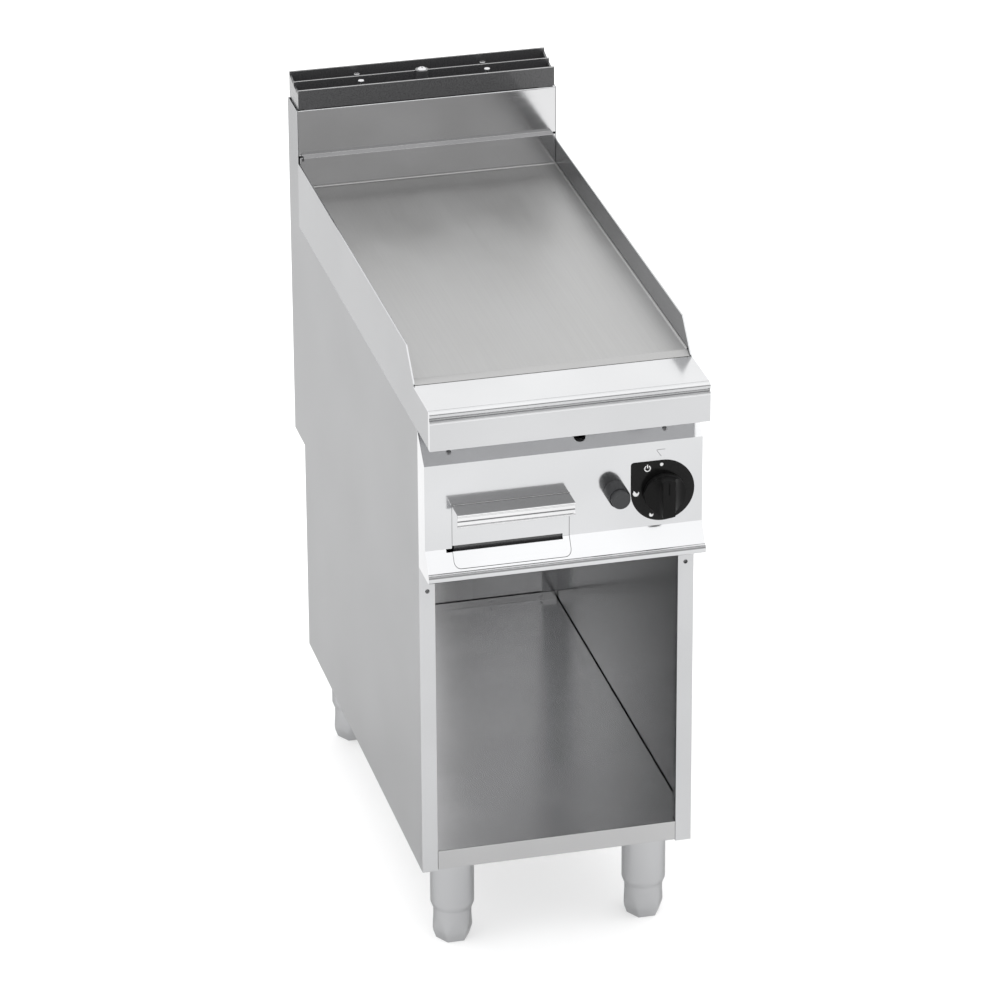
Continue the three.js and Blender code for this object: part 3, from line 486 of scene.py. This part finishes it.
def add_leg(place, side):
    """Leg sleeve with its mounting plate and bolts, and the foot that screws into it."""
    name = f"{place}_{side}"
    sleeve_low, sleeve_high = corners_of("leg_sleeve_" + name)
    middle = (sleeve_low + sleeve_high) / 2
    centre = (middle.x, middle.y, 0)

    def sleeve(work):
        plate = sleeve_high.z - 4.0
        turned(work, sleeve_profile(sleeve_low.z, plate + 8), centre, count=128)
        turned(work, [(SLEEVE_RADIUS, plate), (0, plate)], centre, count=128)
        block(work, (sleeve_low.x, sleeve_high.x), (sleeve_low.y, sleeve_high.y),
              (plate, sleeve_high.z))
        for u in (-24, 24):
            for v in (-24, 24):
                bolt = (middle.x + u, middle.y + v, plate)
                turned(work, [(0, -5), (4.2, -5), (5.0, -4.4), (5.0, 0)], bolt, count=6)

    def foot(work):
        turned(work, foot_profile(FOOT_TOP), centre, count=144, limit_radius=lambda angle, height:
               foot_flats(angle, height) if height < FLATS_TOP else FOOT_RADIUS + 1)
        thread = [(7.0, FOOT_TOP)]
        while thread[-1][1] < THREAD_TOP - 2:
            height = thread[-1][1]
            thread += [(7.0, height + 0.5), (6.3, height + 1.0), (7.0, height + 1.5)]
        turned(work, thread + [(6.0, THREAD_TOP), (0, THREAD_TOP)], centre, count=48)

    sleeve_piece = piece_from("leg_sleeve_fine_" + name, sleeve, leg_steel)
    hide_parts("leg_sleeve_" + name)
    foot_piece = piece_from("leg_foot_fine_" + name, foot, leg_steel, "foot_" + name, smooth=20.0)
    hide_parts("leg_foot_" + name)


for leg_place in ("front", "rear"):
    for leg_side in ("left", "right"):
        add_leg(leg_place, leg_side)


# ---------------------------------------------------------------- knob and escutcheon

knob_low, knob_high = corners_of("control_knob")
KNOB = ((knob_low.x + knob_high.x) / 2, knob_high.y, (knob_low.z + knob_high.z) / 2)
KNOB_DEPTH = knob_high.y - knob_low.y
KNOB_RADIUS = (knob_high.x - knob_low.x) / 2


def knob_body(work):
    depth, radius = KNOB_DEPTH, KNOB_RADIUS
    profile = rounded([(0, 0), (radius, 0), (radius, 7), (radius - 1.1, 8.6),
                       (radius - 1.6, depth), (0, depth)], 1.9, 6)
    turned(work, profile, KNOB, "out", count=128)


def knob_scoops(work):
    for side in (-1, 1):
        centre = (KNOB[0] + side * 30, knob_low.y, KNOB[2] - 40)
        turned(work, [(0, 0), (21, 0), (21, 80), (0, 80)], centre, "z", count=96)
    block(work, (KNOB[0] - 0.9, KNOB[0] + 0.9), (knob_low.y - 2, knob_low.y + 1.6),
          (KNOB[2] + 8, KNOB[2] + 26))


knob_piece = piece_from("knob_fine", knob_body, knob_black, "knob")
carve(knob_piece, knob_scoops)
knob_bevel = knob_piece.modifiers.new("edges", "BEVEL")
knob_bevel.width = 0.9 * MM
knob_bevel.segments = 3
knob_bevel.limit_method = "ANGLE"
knob_bevel.angle_limit = math.radians(28)
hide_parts("control_knob")


PLATE_FRONT, PLATE_REAR = (corner.y for corner in corners_of("knob_escutcheon"))


def escutcheon(work):
    """Round at the right and below, square at its upper left corner, with a soft front edge."""
    radius, corner = 46.0, 5.0
    outline = []
    for i in range(97):
        angle = math.pi / 2 - 1.5 * math.pi * i / 96
        outline.append((radius * math.cos(angle), radius * math.sin(angle)))
    for i in range(1, 17):
        angle = math.pi - 0.5 * math.pi * i / 16
        outline.append((-radius + corner + corner * math.cos(angle),
                        radius - corner + corner * math.sin(angle)))
    rings = []
    for y, scale in ((PLATE_REAR, 1.0), (PLATE_FRONT + 0.5, 1.0), (PLATE_FRONT + 0.15, 0.994),
                     (PLATE_FRONT, 0.985)):
        rings.append([(KNOB[0] + u * scale, y, KNOB[2] + v * scale) for u, v in outline])
    rows = ring_surface(work, rings)
    work.faces.new(rows[0])
    work.faces.new(rows[-1])


plate_piece = piece_from("escutcheon_fine", escutcheon, gloss_black)
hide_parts("knob_escutcheon")


PRINT_THICKNESS = 0.04
PRINT_LIFT = 0.06       # the printed face lies this far in front of its sheet


def ribbon(work, path, width, y):
    """A printed line of even width along a path of (x, z), as a very thin raised band."""
    points = [Vector(point) for point in path]
    count = len(points)
    sides = []
    for i, point in enumerate(points):
        before = points[max(i - 1, 0)]
        after = points[min(i + 1, count - 1)]
        direction = (after - before).normalized()
        across = Vector((-direction.y, direction.x)) * width / 2
        sides.append((point + across, point - across))
    front = [[work.verts.new((p.x, y, p.y)) for p in pair] for pair in sides]
    back = [[work.verts.new((p.x, y + PRINT_THICKNESS, p.y)) for p in pair] for pair in sides]
    for i in range(count - 1):
        j = i + 1
        work.faces.new((front[i][0], front[i][1], front[j][1], front[j][0]))
        for k in (0, 1):
            work.faces.new((front[i][k], front[j][k], back[j][k], back[i][k]))
    for i in (0, count - 1):
        work.faces.new((front[i][0], front[i][1], back[i][1], back[i][0]))


def filled_mark(work, outline, y):
    """A printed spot: a closed outline of (x, z) as a very thin raised face."""
    front = [work.verts.new((x, y, z)) for x, z in outline]
    back = [work.verts.new((x, y + PRINT_THICKNESS, z)) for x, z in outline]
    work.faces.new(front)
    for i in range(len(outline)):
        j = (i + 1) % len(outline)
        work.faces.new((front[i], front[j], back[j], back[i]))


def circle(centre, radius, start=0.0, stop=360.0, steps=32):
    """Points of a circle, or of the part of it between two angles in degrees."""
    angles = [math.radians(start + (stop - start) * i / steps) for i in range(steps + 1)]
    points = [(centre[0] + radius * math.cos(a), centre[1] + radius * math.sin(a)) for a in angles]
    return points[:-1] if stop - start == 360.0 else points


def flame_outline(centre, size):
    """A generic flame: a round base that rises into a leaning point with a notch."""
    shape = [(-0.95, 0.05), (-0.80, -0.45), (-0.40, -0.85), (0.10, -0.95), (0.60, -0.75),
             (0.92, -0.30), (0.95, 0.20), (0.80, 0.55), (0.62, 0.20), (0.35, -0.02),
             (0.05, 0.10), (-0.10, 0.35), (-0.35, 0.62), (-0.60, 0.95), (-0.72, 0.55)]
    return [(centre[0] + u * size, centre[1] + v * size) for u, v in shape]


def escutcheon_marks(work):
    """Spark dot, off sign, and a large and a small flame."""
    y = PLATE_FRONT - PRINT_LIFT
    x, z = KNOB[0], KNOB[2]
    filled_mark(work, circle((x - 1.9, z + 40.2), 2.5), y)
    ring = circle((x - 22.4, z + 36.0), 4.1, 115.0, 425.0, 30)
    ribbon(work, ring, 1.5, y)
    ribbon(work, [(x - 22.4, z + 36.4), (x - 22.4, z + 42.0)], 1.4, y)
    filled_mark(work, flame_outline((x - 39.0, z - 0.5), 4.9), y)
    filled_mark(work, flame_outline((x - 16.6, z - 35.6), 3.3), y)


marks = piece_from("escutcheon_marks", escutcheon_marks, print_white, smooth=10.0)

PANEL_FACE = PLATE_REAR + 0.3


def zone_mark(work):
    """Small open triangle above the knob that shows the cooking zone."""
    x, z = KNOB[0], KNOB[2]
    ribbon(work, rounded([(x + 3.5, z + 62.6), (x - 9.2, z + 62.6), (x - 2.2, z + 52)], 1.6),
           0.75, PANEL_FACE - PRINT_LIFT)


zone = piece_from("zone_mark", zone_mark, print_grey, smooth=10.0)


# ---------------------------------------------------------------- igniter

button_low, button_high = corners_of("igniter_button")
body_low, body_high = corners_of("piezo_body")
IGNITER = ((body_low.x + body_high.x) / 2, (body_low.z + body_high.z) / 2)


def igniter_cap(work):
    """Shallow dished cap on its stem."""
    x, z = IGNITER
    front = button_low.y
    profile = rounded([(0, -20), (13.6, -20), (13.6, -1.3), (12.3, 0), (10.6, 0), (9.6, -0.5),
                       (0, -0.9)], 1.2, 6)
    turned(work, profile, (x, front, z), "out", count=96)
    turned(work, [(5.0, -19.0), (5.0, front + 19 - button_high.y), (0, front - button_high.y)],
           (x, front, z), "out", count=48)


cap = piece_from("igniter_cap_fine", igniter_cap, grey_plastic, "igniter")
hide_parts("igniter_button")


def bezel(work):
    """Ring in front of the panel with the threaded barrel behind it."""
    x, z = IGNITER
    rear = PANEL_FACE - 0.3
    depth = rear - body_low.y
    profile = [(11.0, 0), (15.5, 0), (15.5, depth - 1.2), (14.9, depth), (14.1, depth),
               (13.9, depth - 0.6), (13.9, 5), (5.3, 5), (5.3, -20), (0, -20)]
    turned(work, profile, (x, rear, z), "out", count=128)
    turned(work, rounded([(11, -0.3), (11, rear - body_high.y + 2), (9.5, rear - body_high.y),
                          (0, rear - body_high.y)], 1.0), (x, rear, z), "out", count=64)


bezel_piece = piece_from("igniter_bezel_fine", bezel, grey_plastic, smooth=30.0)
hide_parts("piezo_body")


# ---------------------------------------------------------------- drawer pull

handle_low, handle_high = corners_of("drawer_handle")


def around(centre, radius, start, stop, step):
    """Points (y, z) on an arc, angles in degrees."""
    return [(centre[0] + radius * math.cos(math.radians(a)),
             centre[1] + radius * math.sin(math.radians(a))) for a in range(start, stop, step)]


def half_round(centre, radius, outward, steps=10):
    """Closed (y, z) outline of a half-round bar whose flat side faces away from outward."""
    middle = math.degrees(math.atan2(outward[1], outward[0]))
    angles = [math.radians(middle - 90 + 180 * i / steps) for i in range(steps + 1)]
    return [(centre[0] + radius * math.cos(a), centre[1] + radius * math.sin(a)) for a in angles]


def handle_section():
    """Flat flange with a bead, a groove and a thin ridge along its edge."""
    top, bottom = handle_high.z, handle_low.z
    bead = around((-446.9, top - 2.15), 2.15, 90, 260, 10)
    groove = [(-446.3, top - 4.6), (-446.3, bottom + 3.2), (-447.2, bottom + 2.6)]
    ridge = around((-447.9, bottom + 1.05), 1.0, 100, 281, 15)
    inner = [(-445.2, bottom + 0.3), (-444.7, bottom + 0.9), (-444.7, top - 2.1),
             (-444.5, top - 1.9), (-412.4, top - 1.9), (-412.2, top - 2.1), (-412.2, 716.3),
             (-411.9, 716.0), (-411.3, 716.0), (-411.0, 716.3), (-411.0, top - 0.4),
             (-411.4, top), (-412.0, top), (-444.9, top)]
    return bead + groove + ridge + inner


def drawer_pull(work):
    prism(work, handle_section(), (handle_low.x, handle_high.x))


pull = piece_from("drawer_pull_fine", drawer_pull, pull_steel, "drawer", smooth=25.0)
flat_normals = pull.modifiers.new("normals", "WEIGHTED_NORMAL")
flat_normals.keep_sharp = True
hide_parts("drawer_handle")

# Painted shade: a dark half-round strip laid along the pull's groove, standing in for the shade
# inside it.
groove_shade_strip = piece_from("drawer_pull_groove_shade", lambda work: prism(
    work, half_round((-446.4, (handle_high.z - 4.6 + handle_low.z + 3.2) / 2), 0.9, (-1.0, 0.0), 6),
    (handle_low.x + 0.3, handle_high.x - 0.3)), dark_screw_and_groove_shade_steel, "drawer")

pull_weld = piece_from("drawer_pull_weld", lambda work: prism(
    work, [(-414.06, handle_high.z + 0.5), (-414.5, handle_high.z + 0.02),
           (-414.8, handle_high.z - 0.12), (-414.06, handle_high.z - 0.12)],
    (handle_low.x + 0.6, handle_high.x - 0.6)), worn_edge, "drawer")


# ---------------------------------------------------------------- bead along the panel's lip

panel_low, panel_high = corners_of("control_panel")
lip_bead = piece_from("lip_bead", lambda work: prism(
    work, half_round((-433.2, 640.2), 1.5, (-1.0, 1.0)),
    (panel_low.x + 0.3, panel_high.x - 0.3)), front_steel, smooth=40.0)


def lip_shadow_lines(work):
    """Painted shadow: thin black strips above and below the bead, standing in for the shade in the
    corners beside it.
    """
    for y, z in ((-432.2, 641.7), (-434.7, 639.2)):
        prism(work, half_round((y, z), 0.25, (-1.0, 1.0), 4),
              (panel_low.x + 0.3, panel_high.x - 0.3))


lip_shadow_strips = piece_from("lip_shadow_lines", lip_shadow_lines, lead_rubber)


# ---------------------------------------------------------------- screws and rivets

HEAD_SINK = 0.2


def dome_profile(radius, height):
    """Round head over a short skirt that sinks into the sheet below it."""
    sphere = (radius ** 2 + height ** 2) / (2 * height)
    spread = math.asin(min(1.0, radius / sphere))
    arc = [(sphere * math.sin(spread * i / 10),
            height - sphere * (1 - math.cos(spread * i / 10))) for i in range(10, 0, -1)]
    return [(0, -HEAD_SINK), (radius, -HEAD_SINK)] + arc + [(0, height)]


def placed(work, origin, outward, make):
    """Runs make in a space whose +Z is outward and moves what it made to origin."""
    before = set(work.verts)
    make(work)
    new = [vert for vert in work.verts if vert not in before]
    turn = Vector((0, 0, 1)).rotation_difference(Vector(outward)).to_matrix().to_4x4()
    bmesh.ops.transform(work, matrix=Matrix.Translation(origin) @ turn, verts=new)


def screw(name, node_name, origin, outward, radius, height, shank, shank_length,
          material=screw_steel):
    """A cross-slotted screw with a round head, in place of a CAD screw."""
    def body(work):
        def make(inner):
            turned(inner, [(0, -shank_length), (shank - 0.4, -shank_length),
                           (shank, 0.6 - shank_length), (shank, -HEAD_SINK)]
                   + dome_profile(radius, height)[1:], (0, 0, 0), count=64)
        placed(work, origin, outward, make)

    piece = piece_from(name, body, material)
    half, thin, low = radius * 0.55, radius * 0.13, height * 0.35
    for xs, ys in (((-half, half), (-thin, thin)), ((-thin, thin), (-half, half))):
        carve(piece, lambda work: placed(
            work, origin, outward, lambda inner: block(inner, xs, ys, (low, height + 2))))
    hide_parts(node_name)


for side_name in ("left", "right"):
    low, high = corners_of("stile_screw_" + side_name)
    middle = (low + high) / 2
    screw("stile_screw_fine_" + side_name, "stile_screw_" + side_name,
          (middle.x, low.y + 1.6, middle.z), (0, -1, 0), 2.8, 1.5, 1.9, 9.0, dark_screw_and_groove_shade_steel)
    low, high = corners_of("band_screw_" + side_name)
    middle = (low + high) / 2
    outward = Vector((0, -1, 1)).normalized()
    head = Vector((middle.x, low.y + 2.6, high.z - 2.6))
    screw("band_screw_fine_" + side_name, "band_screw_" + side_name,
          tuple(head - outward * 1.6), tuple(outward), 3.6, 1.6, 1.9, 7.5, dark_screw_and_groove_shade_steel)

low, high = corners_of("grill_screw")
middle = (low + high) / 2
screw("grill_screw_fine", "grill_screw", (middle.x, middle.y, high.z - 3.6), (0, 0, 1), 7.0, 3.4,
      3.0, high.z - 3.6 - low.z)


def add_rivets(name, body, places, outward, radius, material, height):
    def make_all(work):
        for place in places:
            placed(work, place, outward,
                   lambda inner: turned(inner, dome_profile(radius, height), (0, 0, 0), count=32))
    piece = piece_from(name, make_all, material, body)


SKIRT_SKIN = 199.7      # the rivets start just under the skirt's outer face at 200

for side, side_name in ((-1, "left"), (1, "right")):
    skin = side * SKIRT_SKIN
    add_rivets("skirt_rivets_" + side_name, "cabinet",
               [(skin, -423, 866), (skin, 340, 866), (skin, 415, 871)], (side, 0, 0), 2.3,
               dark_screw_and_groove_shade_steel, 0.3)

shelf_rear = corners_of("bottom_shelf")[1].y
add_rivets("shelf_rivets", "cabinet", [(x, shelf_rear - 1.5, 177.5) for x in (-172, -90, 90, 172)],
           (0, -1, 0), 2.2, screw_steel, 0.8)

grill_low, grill_high = corners_of("flue_grill")


def grill_studs(work):
    """Two pairs of studs that hold the blades apart, each with a flat round head."""
    for x in (-97.0, 97.0):
        for y in (404.0, 434.0):
            turned(work, [(0, 1044.5), (2.2, 1044.5), (2.2, 1054.6), (4.3, 1054.6), (4.6, 1055.0),
                          (4.6, 1056.0), (4.2, 1056.5), (0, 1056.5)], (x, y, 0), count=48)


studs = piece_from("grill_studs", grill_studs, screw_steel)

flue_low, flue_high = corners_of("flue_front_panel")
rim = piece_from("flue_rim", lambda work: prism(
    work, half_round((387.1, flue_high.z - 0.5), 1.3, (-0.6, 1.0)),
    (flue_low.x + 0.4, flue_high.x - 0.4)), top_steel, smooth=40.0)

BLADE_TOPS = ((387.5, 1055.0), (418.0, 1058.0), (446.5, 1063.9))


def worn_blade_edges(work):
    """Bare metal where the enamel has worn off the front corner of each blade."""
    for y, top in BLADE_TOPS:
        prism(work, [(y - 0.05, top - 0.5), (y - 0.05, top + 0.05), (y + 0.8, top + 0.05),
                     (y + 0.8, top - 0.5)], (grill_low.x + 0.5, grill_high.x - 0.5))


edges = piece_from("grill_worn_edges", worn_blade_edges, worn_edge)


# ---------------------------------------------------------------- studio

FLOOR_REACH = 40.0      # metres each way
FLOOR_DROP = 0.0002     # just under the feet


def soft_floor():
    """Pale paper floor with a little light of its own."""
    floor_mesh = bpy.data.meshes.new("floor")
    work = bmesh.new()
    reach = FLOOR_REACH
    corners = [work.verts.new((x, y, -FLOOR_DROP)) for x, y in
               ((-reach, -reach), (reach, -reach), (reach, reach), (-reach, reach))]
    work.faces.new(corners)
    work.to_mesh(floor_mesh)
    work.free()
    floor = bpy.data.objects.new("floor", floor_mesh)
    scene.collection.objects.link(floor)
    material, tree, shader = new_material("floor_paper")
    paper = stretched_noise(tree, (2.0, 2.0, 2.0))
    tree.links.new(two_tone(tree, paper, (0.595, 0.595, 0.597), (0.61, 0.61, 0.61)),
                   shader.inputs["Base Color"])
    shader.inputs["Roughness"].default_value = 0.8
    shader.inputs["Specular IOR Level"].default_value = 0.1
    shader.inputs["Emission Color"].default_value = (1.0, 1.0, 1.0, 1)
    shader.inputs["Emission Strength"].default_value = 0.38
    floor_mesh.materials.append(material)


DOME_LIGHT = 1.75
ROOM_LIGHT = 0.55       # the dark part low in front
REAR_LOSS = 0.20        # the dome is this much darker at the rear


def studio_sky():
    """Bright dome, brightest overhead and high in front, with a dark room low in front."""
    world = bpy.data.worlds.new("studio")
    scene.world = world
    world.use_nodes = True
    tree = world.node_tree
    background = tree.nodes["Background"]
    place = tree.nodes.new("ShaderNodeTexCoord")
    parts = tree.nodes.new("ShaderNodeSeparateXYZ")
    tree.links.new(place.outputs["Generated"], parts.inputs["Vector"])
    forward = ranged(tree, parts.outputs["Y"], 1.0, 0.0, (-0.75, -0.35))
    low_part = ranged(tree, parts.outputs["Z"], 1.0, 0.0, (0.46, 0.56))
    both = tree.nodes.new("ShaderNodeMath")
    both.operation = "MULTIPLY"
    tree.links.new(forward, both.inputs[0])
    tree.links.new(low_part, both.inputs[1])
    room = ranged(tree, both.outputs["Value"], DOME_LIGHT, ROOM_LIGHT, (0.0, 1.0))
    rear_fall = ranged(tree, parts.outputs["Y"], 0.0, -REAR_LOSS, (0.2, 0.8))
    tree.links.new(sum_of(tree, room, rear_fall), background.inputs["Strength"])
    background.inputs["Color"].default_value = (1.0, 1.0, 1.0, 1)


def add_camera():
    """Long lens from the front left, above the plate."""
    aim = Vector((0.0118, 0.0, 0.5344))
    azimuth, elevation, roll = math.radians(14.11), math.radians(25.29), math.radians(-0.315)
    distance = 8.047
    forward = Vector((math.sin(azimuth) * math.cos(elevation),
                      math.cos(azimuth) * math.cos(elevation), -math.sin(elevation)))
    right = Vector((math.cos(azimuth), -math.sin(azimuth), 0.0))
    up = right.cross(forward)
    right, up = (right * math.cos(roll) + up * math.sin(roll),
                 up * math.cos(roll) - right * math.sin(roll))
    data = bpy.data.cameras.new("camera")
    data.sensor_width = 36.0
    data.lens = 196.56
    data.clip_end = 100.0
    camera = bpy.data.objects.new("camera", data)
    turn = Matrix((right, up, -forward)).transposed().to_4x4()
    camera.matrix_world = Matrix.Translation(aim - forward * distance) @ turn
    scene.collection.objects.link(camera)
    scene.camera = camera


soft_floor()
studio_sky()
add_camera()
scene.view_settings.view_transform = "Standard"
